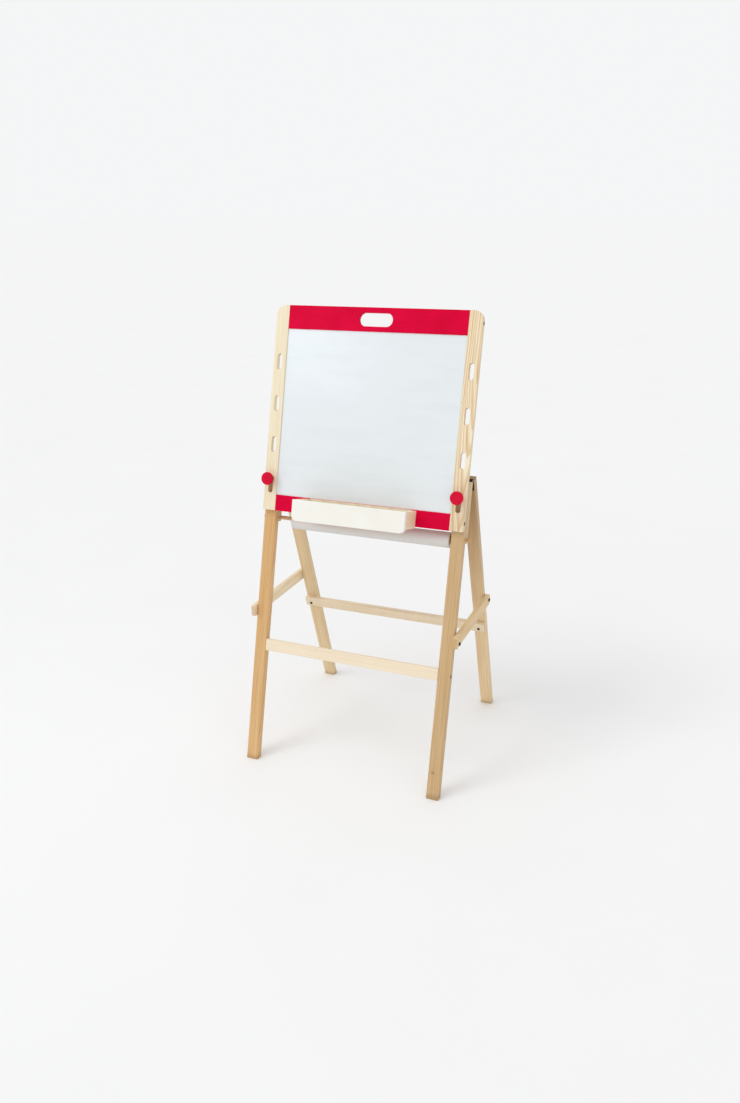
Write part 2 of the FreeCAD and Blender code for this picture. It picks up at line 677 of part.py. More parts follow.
def stile(side):
    """Upright of the board with four slots and a groove for the panel."""
    body = block(span(side, STILE_INNER, HALF), BOARD_FACES, (BOARD_BOTTOM, BOARD_TOP))
    outer = [edge for edge in edges_along(body, Y_AXIS) if abs(edge.BoundBox.XMin) > HALF - 1]
    body = body.makeFillet(STILE_CORNER, [edge for edge in outer if edge.BoundBox.ZMin > BOARD_TOP - 1])
    outer = [edge for edge in edges_along(body, Y_AXIS) if abs(edge.BoundBox.XMin) > HALF - 1]
    foot = [edge for edge in outer if edge.BoundBox.ZMin < BOARD_BOTTOM + 1]
    body = body.makeFillet(STILE_FOOT_CORNER, foot)
    body = body.makeFillet(BOARD_EASE, edges_on_faces(body, BOARD_FACES))
    groove_low = BOTTOM_RAIL_TOP - GROOVE_DEPTH
    groove_high = TOP_RAIL_BOTTOM + GROOVE_DEPTH
    groove_x = span(side, STILE_INNER - 1, STILE_INNER + GROOVE_DEPTH)
    cuts = [block(groove_x, GROOVE, (groove_low, groove_high))]
    for slot in range(SLOT_COUNT):
        height = TOP_SLOT - slot * SLOT_PITCH
        cuts.append(oblong(SIDES[side] * STILE_MID, height, SLOT_LENGTH, SLOT_WIDTH, True))
    return on_front(body.cut(cuts + frame_screw_holes()))


def top_rail():
    """Painted top rail with a hand hole."""
    rail = block((-STILE_INNER, STILE_INNER), BOARD_FACES, (TOP_RAIL_BOTTOM, BOARD_TOP))
    rail = rail.makeFillet(BOARD_EASE, edges_on_faces(rail, BOARD_FACES))
    middle = BOARD_TOP - TOP_RAIL_HEIGHT / 2
    rail = rail.cut(oblong(0, middle, HAND_HOLE_LENGTH, HAND_HOLE_HEIGHT, False))
    short = [edge for edge in edges_on_faces(rail, BOARD_FACES) if edge.BoundBox.XLength < HAND_HOLE_LENGTH]
    rim = [edge for edge in short if abs(edge.BoundBox.Center.x) < HAND_HOLE_LENGTH / 2]
    rail = rail.makeFillet(HAND_HOLE_EASE, rim)
    groove = block((-HALF, HALF), GROOVE, (TOP_RAIL_BOTTOM - 1, TOP_RAIL_BOTTOM + GROOVE_DEPTH))
    return on_front(rail.cut([groove] + frame_screw_holes()))


def tray_screw_point(side):
    """Back face of the bottom rail, behind a tray end."""
    return (SIDES[side] * (TRAY_WIDTH - TRAY_WALL) / 2, 0, RAIL_SCREWS[0])


def tray_screw_holes():
    """Holes of the two tray screws."""
    return [set_at(screw_hole(TRAY_SCREW), tray_screw_point(side), -Y_AXIS) for side in SIDES]


def bottom_rail():
    """Painted bottom rail that carries the tray."""
    rail = block((-STILE_INNER, STILE_INNER), BOARD_FACES, (BOARD_BOTTOM, BOTTOM_RAIL_TOP))
    rail = rail.makeFillet(BOARD_EASE, edges_on_faces(rail, BOARD_FACES))
    groove = block((-HALF, HALF), GROOVE, (BOTTOM_RAIL_TOP - GROOVE_DEPTH, BOTTOM_RAIL_TOP + 1))
    return on_front(rail.cut([groove] + frame_screw_holes() + tray_screw_holes()))


def panel_layer(front, thickness):
    """One layer of the panel, let into the grooves all round."""
    reach = STILE_INNER + PANEL_TONGUE
    height = (BOTTOM_RAIL_TOP - PANEL_TONGUE, TOP_RAIL_BOTTOM + PANEL_TONGUE)
    return on_front(block((-reach, reach), (front, front + thickness), height))


def frame_screws():
    """Four screws through the stiles into the rails."""
    screws = []
    for side in SIDES:
        for point in frame_screw_points(side):
            screws.append(on_front(set_at(screw(FRAME_SCREW), point, inward(side))))
    return screws


# ---- Tray ----------------------------------------------------------------
TRAY_FRONT = -BOARD_DEPTH - TRAY_REACH
TRAY_FRONT_BACK = TRAY_FRONT + TRAY_FRONT_DEPTH
TRAY_BACK_FRONT = -BOARD_DEPTH - TRAY_BACK_DEPTH
TRAY_HALF = TRAY_WIDTH / 2
TRAY_CLEAR_HALF = TRAY_HALF - TRAY_WALL


def tray_front():
    """Painted front bar with rounded lower corners."""
    bar = block((-TRAY_HALF, TRAY_HALF), (TRAY_FRONT, TRAY_FRONT_BACK), (TRAY_FRONT_BOTTOM, TRAY_TOP))
    low = [edge for edge in edges_along(bar, Y_AXIS) if edge.BoundBox.ZMax < TRAY_FRONT_BOTTOM + 1]
    bar = bar.makeFillet(TRAY_CORNER, low)
    return on_front(bar.makeFillet(EASE, edges_on_faces(bar, (TRAY_FRONT,))))


def tray_end(side):
    """Bare wood end between the front bar and the board."""
    end = block(span(side, TRAY_CLEAR_HALF, TRAY_HALF), (TRAY_FRONT_BACK, -BOARD_DEPTH),
                (TRAY_FLOOR_BOTTOM, TRAY_TOP))
    return on_front(eased(end, Y_AXIS, TRAY_EASE).cut(tray_screw_holes()))


def tray_floor():
    """Thin floor between the two ends."""
    return on_front(block((-TRAY_CLEAR_HALF, TRAY_CLEAR_HALF), (TRAY_FRONT_BACK, TRAY_BACK_FRONT),
                          (TRAY_FLOOR_BOTTOM, TRAY_FLOOR_BOTTOM + TRAY_FLOOR)))


def tray_back():
    """Thin back strip between the two ends, against the bottom rail."""
    return on_front(block((-TRAY_CLEAR_HALF, TRAY_CLEAR_HALF), (TRAY_BACK_FRONT, -BOARD_DEPTH),
                          (TRAY_FLOOR_BOTTOM, TRAY_BACK_TOP)))


def tray_screws():
    """Two screws from behind the bottom rail into the tray ends."""
    return [on_front(set_at(screw(TRAY_SCREW), tray_screw_point(side), -Y_AXIS)) for side in SIDES]


# ---- Knobs ---------------------------------------------------------------
WASHER_FRONT = -BOARD_DEPTH - LIGHT_TOUCH - KNOB_WASHER
STUD_IN_KNOB = 16.0
KNOB_ROUND = 2.5          # front edge
KNOB_BACK_ROUND = 2.0


def knob(side):
    """Turned red knob with a short neck, drilled for its stud."""
    neck_radius, neck_depth = KNOB_NECK
    disc = rod(KNOB_RADIUS, (0, 0, neck_depth), Z_AXIS, KNOB_DEPTH)
    top = [edge for edge in disc.Edges if edge.BoundBox.ZMin > neck_depth + KNOB_DEPTH - 0.001]
    disc = disc.makeFillet(KNOB_ROUND, top)
    low = [edge for edge in disc.Edges if edge.BoundBox.ZMax < neck_depth + 0.001]
    disc = disc.makeFillet(KNOB_BACK_ROUND, low)
    body = disc.fuse(rod(neck_radius, (0, 0, 0), Z_AXIS, neck_depth)).removeSplitter()
    body = body.cut(rod(BOLT_RADIUS, (0, 0, -1), Z_AXIS, STUD_IN_KNOB + 1))
    return on_front(set_at(body, (SIDES[side] * STILE_MID, WASHER_FRONT, STUD_HEIGHT), Y_AXIS))


def knob_stud(side):
    """Threaded stud from the knob through stile, leg, block and tee nut."""
    start = (SIDES[side] * STILE_MID, WASHER_FRONT - STUD_IN_KNOB, STUD_HEIGHT)
    return on_front(rod(BOLT_RADIUS, start, Y_AXIS, BLOCK_BACK + STUD_OVERRUN - start[1]))


def knob_washer(side):
    """Flat washer between knob and stile."""
    start = (SIDES[side] * STILE_MID, WASHER_FRONT, STUD_HEIGHT)
    return on_front(ring(WASHER_RADIUS, BOLT_RADIUS, start, Y_AXIS, KNOB_WASHER))


# ---- Paper roll ----------------------------------------------------------
DOWEL_BACK = LEG_DEPTH + BLOCK_DEPTH / 2
DOWEL_Y = FRONT_Y + DOWEL_BACK * FRONT_COSINE + DOWEL_HEIGHT * FRONT_SINE
DOWEL_Z = DOWEL_HEIGHT * FRONT_COSINE - DOWEL_BACK * FRONT_SINE
ROLL_Z = DOWEL_Z - (TUBE_INNER - DOWEL_RADIUS - TUBE_GAP)
ROLL_START = (ROLL_SHIFT - ROLL_LENGTH / 2, DOWEL_Y, ROLL_Z)


def paper_dowel():
    """Round rod through both spacer blocks."""
    dowel = rod(DOWEL_RADIUS, (-DOWEL_LENGTH / 2, DOWEL_Y, DOWEL_Z), X_AXIS, DOWEL_LENGTH)
    ends = [edge for edge in dowel.Edges if edge.BoundBox.XLength < 0.001]
    return dowel.makeChamfer(DOWEL_CHAMFER, ends)


def paper_roll():
    """Wound paper, hanging on the dowel."""
    return ring(ROLL_RADIUS, TUBE_OUTER, ROLL_START, X_AXIS, ROLL_LENGTH)


def roll_tube():
    """Cardboard tube that the paper is wound on."""
    return ring(TUBE_OUTER, TUBE_INNER, ROLL_START, X_AXIS, ROLL_LENGTH)


# ---- Write every sub-part ------------------------------------------------
os.makedirs("parts", exist_ok=True)

for side in SIDES:
    save("front_leg_" + side, front_leg(side))
    save("spacer_block_" + side, spacer_block(side))
    save("tee_nut_" + side, tee_nut(side))
    save("brace_peg_" + side, brace_peg(side))
    save("hinge_front_leaf_" + side, front_leaf(side))
    save("hinge_rear_leaf_" + side, rear_leaf(side))
    save("hinge_pin_" + side, hinge_pin(side))
    save("rear_leg_" + side, rear_leg(side))
    save("brace_" + side, brace(side))
    save("stile_" + side, stile(side))
    save("tray_end_" + side, tray_end(side))
    save("knob_" + side, knob(side))
    save("knob_stud_" + side, knob_stud(side))
    save("knob_washer_" + side, knob_washer(side))

save("front_stretcher", front_stretcher())
save("stretcher_bolts", stretcher_bolts())
save("stretcher_barrel_nuts", barrel_nuts())
save("block_screws", block_screws())
save("hinge_front_screws", hinge_screws(FRONT_PIN, BLOCK_BACK + LEAF_THICKNESS, -Y_AXIS, on_front))
save("hinge_rear_screws", hinge_screws(REAR_PIN, -LEAF_THICKNESS, Y_AXIS, on_rear))

save("rear_stretcher", rear_stretcher())
save("rear_stretcher_bolts", rear_stretcher_bolts())
save("rear_stretcher_nuts", rear_stretcher_nuts())
save("rear_top_rail", rear_top_rail())
save("rear_rail_screws", rear_rail_screws())
save("brace_washers", brace_washers())
save("brace_pivot_bolts", brace_pivot_bolts())
save("brace_pivot_nuts", brace_pivot_nuts())

save("top_rail", top_rail())
save("bottom_rail", bottom_rail())
save("whiteboard_sheet", panel_layer(PANEL_FRONT, SHEET_THICKNESS))
save("panel_core", panel_layer(PANEL_FRONT + SHEET_THICKNESS, CORE_THICKNESS))
save("chalkboard_sheet", panel_layer(PANEL_BACK - SHEET_THICKNESS, SHEET_THICKNESS))
save("frame_screws", frame_screws())
save("tray_front", tray_front())
save("tray_floor", tray_floor())
save("tray_back", tray_back())
save("tray_screws", tray_screws())

save("paper_dowel", paper_dowel())
save("paper_roll", paper_roll())
save("roll_tube", roll_tube())
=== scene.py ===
import math

import bpy
from mathutils import Euler, Matrix, Vector


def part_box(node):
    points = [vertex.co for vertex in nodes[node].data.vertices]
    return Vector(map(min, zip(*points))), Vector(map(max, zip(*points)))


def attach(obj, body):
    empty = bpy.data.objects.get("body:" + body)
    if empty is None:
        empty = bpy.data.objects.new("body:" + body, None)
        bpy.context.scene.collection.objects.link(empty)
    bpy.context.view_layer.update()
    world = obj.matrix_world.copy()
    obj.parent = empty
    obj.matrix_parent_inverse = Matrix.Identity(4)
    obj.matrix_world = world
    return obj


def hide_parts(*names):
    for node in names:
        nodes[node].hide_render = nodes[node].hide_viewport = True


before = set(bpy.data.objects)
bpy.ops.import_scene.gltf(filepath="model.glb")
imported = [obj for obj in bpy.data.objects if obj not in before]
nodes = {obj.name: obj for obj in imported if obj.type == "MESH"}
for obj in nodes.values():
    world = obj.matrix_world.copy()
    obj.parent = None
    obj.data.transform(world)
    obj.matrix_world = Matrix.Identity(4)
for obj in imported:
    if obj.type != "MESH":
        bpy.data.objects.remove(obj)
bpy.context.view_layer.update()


# ---- Front legs ------------------------------------------------------------
# Two straight pine legs, planed, eased along their edges and lacquered thinly.
# They are sawn level at the foot, so the end grain there drinks more lacquer
# and gathers dirt from the floor.
FRONT_LEAN = math.radians(15.6)
UP_FRONT = (0, math.sin(FRONT_LEAN), math.cos(FRONT_LEAN))
OUT_FRONT = (0, -math.cos(FRONT_LEAN), math.sin(FRONT_LEAN))
ACROSS = (1, 0, 0)


def hue(hex_code):
    """Turn an sRGB hex colour into the linear colour that a shader takes."""
    parts = [int(hex_code[place:place + 2], 16) / 255 for place in (0, 2, 4)]
    linear = [p / 12.92 if p <= 0.04045 else ((p + 0.055) / 1.055) ** 2.4 for p in parts]
    return (*linear, 1.0)


def put(tree, kind, settings=None, links=None):
    """Add one node, with its settings and with a value or a link for each input."""
    made = tree.nodes.new(kind)
    for name, value in (settings or {}).items():
        setattr(made, name, value)
    for name, value in (links or {}).items():
        if isinstance(value, bpy.types.NodeSocket):
            tree.links.new(value, made.inputs[name])
        else:
            made.inputs[name].default_value = value
    return made


def start_finish(name):
    """Start a material; returns it, its node tree and its surface shader."""
    finish = bpy.data.materials.new(name)
    finish.use_nodes = True
    tree = finish.node_tree
    return finish, tree, tree.nodes["Principled BSDF"]


def clad(finish, *names):
    """Give CAD nodes their finish."""
    for name in names:
        for place in nodes[name].material_slots:
            place.material = finish


SMOOTH = {"interpolation_type": "SMOOTHSTEP"}
COLOURS = {"data_type": "RGBA"}


def marks(size):
    """Texture scale for marks of a size in millimetres, to two figures."""
    return float(f"{1000 / size:.2g}")


def sawn_wood(name, node, along, facing, early, late, ring, pith, drift, figure=0.45, knots=(),
              scuff=0.0, roughness=0.42, heartwood_and_shade=None):
    """Wood with yearly rings about a pith line beside the piece.

    along and facing are the grain and the show face; early and late are the
    colours of the pale and the dark part of a ring, ring is its width in
    metres. pith is the pith's place across and behind the piece, and drift
    how far it wanders across and behind for each metre along, which draws
    the flame figure, as strong as figure says. knots are (across, along,
    radius) on the show face. heartwood is (start, end, strength) along the
    grain, where the piece turns darker and browner: the right stile's darker
    wood, and painted shade at the top of the right rear leg. scuff is about
    how high dirt reaches from the floor, in metres.
    """
    finish, tree, surface = start_finish(name)
    low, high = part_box(node)
    middle = (low + high) / 2
    grain = Vector(along).normalized()
    face = Vector(facing).normalized()
    turn = Matrix((face.cross(grain), face, grain))
    coordinates = put(tree, "ShaderNodeTexCoord")
    local = put(tree, "ShaderNodeMapping", {}, {
        "Vector": coordinates.outputs["Object"], "Rotation": turn.to_euler(),
        "Location": -(turn @ middle)}).outputs["Vector"]

    # The rings wander slowly along the trunk, and the seed cuts each piece
    # from another part of it.
    seed = (middle.x * 31.0, middle.y * 17.0, middle.z * 7.0)
    slowly = (1.0, 1.0, 0.10)
    wander_reach = (0.016, 0.016, 0.0)
    stretched = put(tree, "ShaderNodeVectorMath", {"operation": "MULTIPLY_ADD"}, {
        0: local, 1: slowly, 2: seed}).outputs[0]
    wander = put(tree, "ShaderNodeTexNoise", {}, {
        "Vector": stretched, "Scale": marks(36), "Detail": 2.0})
    swing = put(tree, "ShaderNodeVectorMath", {"operation": "MULTIPLY_ADD"}, {
        0: wander.outputs["Color"], 1: wander_reach, 2: local}).outputs[0]
    place = put(tree, "ShaderNodeSeparateXYZ", {}, {0: swing})
    across = put(tree, "ShaderNodeMath", {"operation": "MULTIPLY_ADD"}, {
        0: place.outputs["Z"], 1: drift[0], 2: place.outputs["X"]}).outputs[0]
    behind = put(tree, "ShaderNodeMath", {"operation": "MULTIPLY_ADD"}, {
        0: place.outputs["Z"], 1: drift[1], 2: place.outputs["Y"]}).outputs[0]
    section = put(tree, "ShaderNodeCombineXYZ", {}, {"X": across, "Y": behind}).outputs[0]
    radius = put(tree, "ShaderNodeVectorMath", {"operation": "DISTANCE"}, {
        0: section, 1: (pith[0], pith[1], 0.0)}).outputs["Value"]

    # Each knot pushes the rings aside, out to five times its radius, and has a
    # dark heart.
    knot_reach = 5
    push_aside = ring * 1.8
    flat = put(tree, "ShaderNodeSeparateXYZ", {}, {0: local})
    heart = None
    for knot_across, knot_along, knot_radius in knots:
        spot = put(tree, "ShaderNodeCombineXYZ", {}, {"X": flat.outputs["X"], "Z": flat.outputs["Z"]})
        far = put(tree, "ShaderNodeVectorMath", {"operation": "DISTANCE"}, {
            0: spot.outputs[0], 1: (knot_across, 0.0, knot_along)}).outputs["Value"]
        push = put(tree, "ShaderNodeMapRange", SMOOTH, {
            "Value": far, "From Min": 0.0, "From Max": knot_radius * knot_reach, "To Min": push_aside,
            "To Max": 0.0}).outputs["Result"]
        radius = put(tree, "ShaderNodeMath", {"operation": "ADD"}, {0: radius, 1: push}).outputs[0]
        core = put(tree, "ShaderNodeMapRange", SMOOTH, {
            "Value": far, "From Min": knot_radius * 0.35, "From Max": knot_radius * 1.15,
            "To Min": 1.0, "To Max": 0.0}).outputs["Result"]
        heart = core if heart is None else put(tree, "ShaderNodeMath", {"operation": "MAXIMUM"},
                                               {0: heart, 1: core}).outputs[0]

    # A ring darkens slowly to its late wood and then ends sharply.
    count = put(tree, "ShaderNodeMath", {"operation": "DIVIDE"}, {0: radius, 1: ring}).outputs[0]
    part = put(tree, "ShaderNodeMath", {"operation": "FRACT"}, {0: count}).outputs[0]
    darkening = put(tree, "ShaderNodeMapRange", SMOOTH, {
        "Value": part, "From Min": 0.25, "From Max": 0.88}).outputs["Result"]
    ending = put(tree, "ShaderNodeMapRange", SMOOTH, {
        "Value": part, "From Min": 0.90, "From Max": 1.0, "To Min": 1.0,
        "To Max": 0.0}).outputs["Result"]
    lateness = put(tree, "ShaderNodeMath", {"operation": "MULTIPLY"}, {
        0: darkening, 1: ending}).outputs[0]

    # Real fibres are too fine to show, so they are drawn 0.7 mm wide and fifty
    # times as long. They lie in darker and paler streaks about 3 mm wide.
    fifty_times_as_long = (1.0, 1.0, 0.02)
    drawn = put(tree, "ShaderNodeVectorMath", {"operation": "MULTIPLY_ADD"}, {
        0: local, 1: fifty_times_as_long, 2: seed}).outputs[0]
    fibre = put(tree, "ShaderNodeTexNoise", {}, {"Vector": drawn, "Scale": marks(0.7), "Detail": 3.0})
    streak = put(tree, "ShaderNodeTexNoise", {}, {"Vector": drawn, "Scale": marks(3.0), "Detail": 2.0})
    cloud = put(tree, "ShaderNodeTexNoise", {}, {
        "Vector": stretched, "Scale": marks(70), "Detail": 3.0})

    streaks = put(tree, "ShaderNodeMapRange", SMOOTH, {
        "Value": streak.outputs["Fac"], "From Min": 0.35, "From Max": 0.75, "To Min": 0.0,
        "To Max": 0.35}).outputs["Result"]
    lines = put(tree, "ShaderNodeMath", {"operation": "MULTIPLY_ADD"}, {
        0: fibre.outputs["Fac"], 1: 0.25, 2: streaks})
    shaded = put(tree, "ShaderNodeMath", {"operation": "MULTIPLY_ADD", "use_clamp": True}, {
        0: lateness, 1: figure, 2: lines.outputs[0]}).outputs[0]
    tone = put(tree, "ShaderNodeMix", COLOURS, {0: shaded, 6: hue(early), 7: hue(late)}).outputs[2]
    warmth = put(tree, "ShaderNodeMapRange", SMOOTH, {
        "Value": cloud.outputs["Fac"], "From Min": 0.38, "From Max": 0.68, "To Min": 0.0,
        "To Max": 0.22}).outputs["Result"]
    tone = put(tree, "ShaderNodeMix", COLOURS, {0: warmth, 6: tone, 7: hue(late)}).outputs[2]
    # Darker and browner towards one end along the grain: the right stile's darker wood, and painted
    # shade at the top of the right rear leg.
    if heartwood_and_shade:
        brown = put(tree, "ShaderNodeMapRange", SMOOTH, {
            "Value": flat.outputs["Z"], "From Min": heartwood_and_shade[0], "From Max": heartwood_and_shade[1],
            "To Min": 0.0, "To Max": heartwood_and_shade[2]}).outputs["Result"]
        tone = put(tree, "ShaderNodeMix", COLOURS, {0: brown, 6: tone, 7: hue("946C3E")}).outputs[2]
    if heart is not None:
        tone = put(tree, "ShaderNodeMix", COLOURS, {0: heart, 6: tone, 7: hue("B08452")}).outputs[2]

    # End grain is a good deal darker than the long faces.
    facing_end = put(tree, "ShaderNodeVectorMath", {"operation": "DOT_PRODUCT"}, {
        0: coordinates.outputs["Normal"], 1: grain}).outputs["Value"]
    end = put(tree, "ShaderNodeMath", {"operation": "ABSOLUTE"}, {0: facing_end}).outputs[0]
    end = put(tree, "ShaderNodeMapRange", SMOOTH, {
        "Value": end, "From Min": 0.55, "From Max": 0.9, "To Min": 0.0,
        "To Max": 0.35}).outputs["Result"]
    tone = put(tree, "ShaderNodeMix", COLOURS, {0: end, 6: tone, 7: hue("9A6A3C")}).outputs[2]
    if scuff:
        floor_height = put(tree, "ShaderNodeSeparateXYZ", {}, {0: coordinates.outputs["Object"]})
        grubby = put(tree, "ShaderNodeMath", {"operation": "MULTIPLY_ADD"}, {
            0: cloud.outputs["Fac"], 1: -scuff, 2: floor_height.outputs["Z"]}).outputs[0]
        dirt = put(tree, "ShaderNodeMapRange", SMOOTH, {
            "Value": grubby, "From Min": -scuff * 0.4, "From Max": scuff * 0.5, "To Min": 0.45,
            "To Max": 0.0}).outputs["Result"]
        tone = put(tree, "ShaderNodeMix", COLOURS, {0: dirt, 6: tone, 7: hue("8A6A48")}).outputs[2]

    relief = put(tree, "ShaderNodeMath", {"operation": "MULTIPLY_ADD"}, {
        0: lateness, 1: 0.5, 2: fibre.outputs["Fac"]}).outputs[0]
    bump = put(tree, "ShaderNodeBump", {}, {"Strength": 0.35, "Distance": 0.0003, "Height": relief})
    sheen = put(tree, "ShaderNodeMapRange", SMOOTH, {
        "Value": fibre.outputs["Fac"], "From Min": 0.3, "From Max": 0.7, "To Min": roughness - 0.06,
        "To Max": roughness + 0.10}).outputs["Result"]
    tree.links.new(tone, surface.inputs["Base Color"])
    tree.links.new(sheen, surface.inputs["Roughness"])
    tree.links.new(bump.outputs["Normal"], surface.inputs["Normal"])
    surface.inputs["IOR"].default_value = 1.5
    surface.inputs["Specular IOR Level"].default_value = 0.35
    clad(finish, node)


# Pine from two boards: the left leg is the redder one, the right leg is duller
# and has a small knot low down.
sawn_wood("pine left front leg", "front_leg_left", UP_FRONT, OUT_FRONT, "E8C691", "BE8648", 0.0036,
          (0.095, 0.050), (0.02, 0.01), figure=0.40, scuff=0.016)
sawn_wood("pine right front leg", "front_leg_right", UP_FRONT, OUT_FRONT, "DBC094", "B48A55", 0.0034,
          (-0.090, 0.060), (-0.02, 0.02), figure=0.36, knots=[(0.004, -0.300, 0.0050)], scuff=0.016)

# ---- Front stretcher ---------------------------------------------------------
# A pale pine bar between the front legs, held by a bolt and a steel cross
# dowel at each end.
sawn_wood("pine front stretcher", "front_stretcher", ACROSS, OUT_FRONT, "F6EAD4", "E2CAA4", 0.0040,
          (0.110, 0.030), (0.01, 0.01), figure=0.25)

# ---- Spacer blocks -----------------------------------------------------------
# Short pine blocks screwed behind the tops of the front legs. They carry the
# hinges and the paper dowel.
sawn_wood("pine left block", "spacer_block_left", UP_FRONT, OUT_FRONT, "E6D0A4", "C49A62", 0.0040,
          (0.08, 0.05), (0.02, 0.02))
sawn_wood("pine right block", "spacer_block_right", UP_FRONT, OUT_FRONT, "E2C998", "BE935A", 0.0040,
          (-0.08, 0.05), (0.02, 0.02))

# ---- Rear frame --------------------------------------------------------------
# Two pine legs like the front ones, with a bar bolted across their front and
# a second one screwed behind their tops.
REAR_LEAN = math.radians(18.0)
UP_REAR = (0, -math.sin(REAR_LEAN), math.cos(REAR_LEAN))
OUT_REAR = (0, -math.cos(REAR_LEAN), -math.sin(REAR_LEAN))

sawn_wood("pine left rear leg", "rear_leg_left", UP_REAR, OUT_REAR, "EBD6B0", "CCA874", 0.0036,
          (0.09, 0.06), (0.02, 0.02), figure=0.30, scuff=0.014)
# Its top turns darker and browner: painted shade, where the board and the front frame shade the leg.
sawn_wood("pine right rear leg", "rear_leg_right", UP_REAR, OUT_REAR, "EFD8AF", "CEA776", 0.0036,
          (-0.09, 0.05), (0.02, 0.02), figure=0.34, knots=[(0.003, 0.190, 0.0035)], scuff=0.014,
          heartwood_and_shade=(-0.15, 0.35, 0.60))
sawn_wood("pine rear stretcher", "rear_stretcher", ACROSS, OUT_REAR, "F2E2C8", "DABF98", 0.0038,
          (0.10, 0.04), (0.01, 0.01), figure=0.28)
sawn_wood("pine rear top rail", "rear_top_rail", ACROSS, OUT_REAR, "E0CAA2", "C29A64", 0.0038,
          (0.10, 0.04), (0.02, 0.01), figure=0.35)

# ---- Braces ------------------------------------------------------------------
# Flat pine bars, round at the rear and notched at the front, which hook over
# a peg in each front leg.
BRACE_RISE = math.radians(0.8)
ALONG_BRACE = (0, math.cos(BRACE_RISE), -math.sin(BRACE_RISE))
sawn_wood("pine left brace", "brace_left", ALONG_BRACE, (-1, 0, 0), "F6E7C9", "E0BF90", 0.0040,
          (0.012, 0.085), (0.01, 0.01), figure=0.26)
sawn_wood("pine right brace", "brace_right", ALONG_BRACE, (1, 0, 0), "EDD4A6", "D0A66C", 0.0040,
          (0.012, 0.085), (0.01, 0.01), figure=0.26)

# ---- Board stiles ------------------------------------------------------------
# Wide pine uprights with four routed slots each. The left one is nearly plain;
# the right one shows a strong flame figure between its slots.
sawn_wood("pine left stile", "stile_left", UP_FRONT, OUT_FRONT, "F4EAD2", "DFC89C", 0.0050,
          (0.12, 0.04), (0.01, 0.01), figure=0.30)
sawn_wood("pine right stile", "stile_right", UP_FRONT, OUT_FRONT, "F8EDD3", "D3AE79", 0.0044,
          (-0.010, 0.040), (0.055, 0.060), figure=0.58, heartwood_and_shade=(-0.10, -0.30, 0.22),
          knots=[(0.019, 0.040, 0.0050), (0.019, -0.012, 0.0035)])


# ---- Painted rails -----------------------------------------------------------
# The board's top and bottom rails are wood sprayed with satin red lacquer.
# The grain only just telegraphs through it, and the sprayed coat has a fine
# orange peel.
def sprayed_lacquer(name, base, deep, along, roughness, shine):
    """Opaque satin lacquer on wood: 1.4 mm orange peel over faint grain lines."""
    finish, tree, surface = start_finish(name)
    coordinates = put(tree, "ShaderNodeTexCoord").outputs["Object"]
    drawn_out = 0.06
    squeeze = [drawn_out if step else 1.0 for step in along]
    drawn = put(tree, "ShaderNodeVectorMath", {"operation": "MULTIPLY"}, {0: coordinates, 1: squeeze})
    grain = put(tree, "ShaderNodeTexNoise", {}, {
        "Vector": drawn.outputs[0], "Scale": marks(2.4), "Detail": 3.0})
    peel = put(tree, "ShaderNodeTexNoise", {}, {
        "Vector": coordinates, "Scale": marks(1.43), "Detail": 2.0})
    cloud = put(tree, "ShaderNodeTexNoise", {}, {
        "Vector": coordinates, "Scale": marks(55), "Detail": 4.0})
    uneven = put(tree, "ShaderNodeMath", {"operation": "MULTIPLY_ADD"}, {
        0: grain.outputs["Fac"], 1: 0.5, 2: cloud.outputs["Fac"]}).outputs[0]
    depth = put(tree, "ShaderNodeMapRange", SMOOTH, {
        "Value": uneven, "From Min": 0.55, "From Max": 1.0}).outputs["Result"]
    tone = put(tree, "ShaderNodeMix", COLOURS, {0: depth, 6: hue(base), 7: hue(deep)}).outputs[2]
    relief = put(tree, "ShaderNodeMath", {"operation": "MULTIPLY_ADD"}, {
        0: grain.outputs["Fac"], 1: 0.8, 2: peel.outputs["Fac"]}).outputs[0]
    bump = put(tree, "ShaderNodeBump", {}, {"Strength": 0.25, "Distance": 0.0002, "Height": relief})
    worn = put(tree, "ShaderNodeMapRange", SMOOTH, {
        "Value": cloud.outputs["Fac"], "From Min": 0.3, "From Max": 0.7, "To Min": roughness - 0.05,
        "To Max": roughness + 0.07}).outputs["Result"]
    tree.links.new(tone, surface.inputs["Base Color"])
    tree.links.new(worn, surface.inputs["Roughness"])
    tree.links.new(bump.outputs["Normal"], surface.inputs["Normal"])
    surface.inputs["IOR"].default_value = 1.5
    surface.inputs["Specular IOR Level"].default_value = shine
    return finish


clad(sprayed_lacquer("red satin lacquer", "DC003A", "D00032", ACROSS, 0.42, 0.05),
     "top_rail", "bottom_rail")


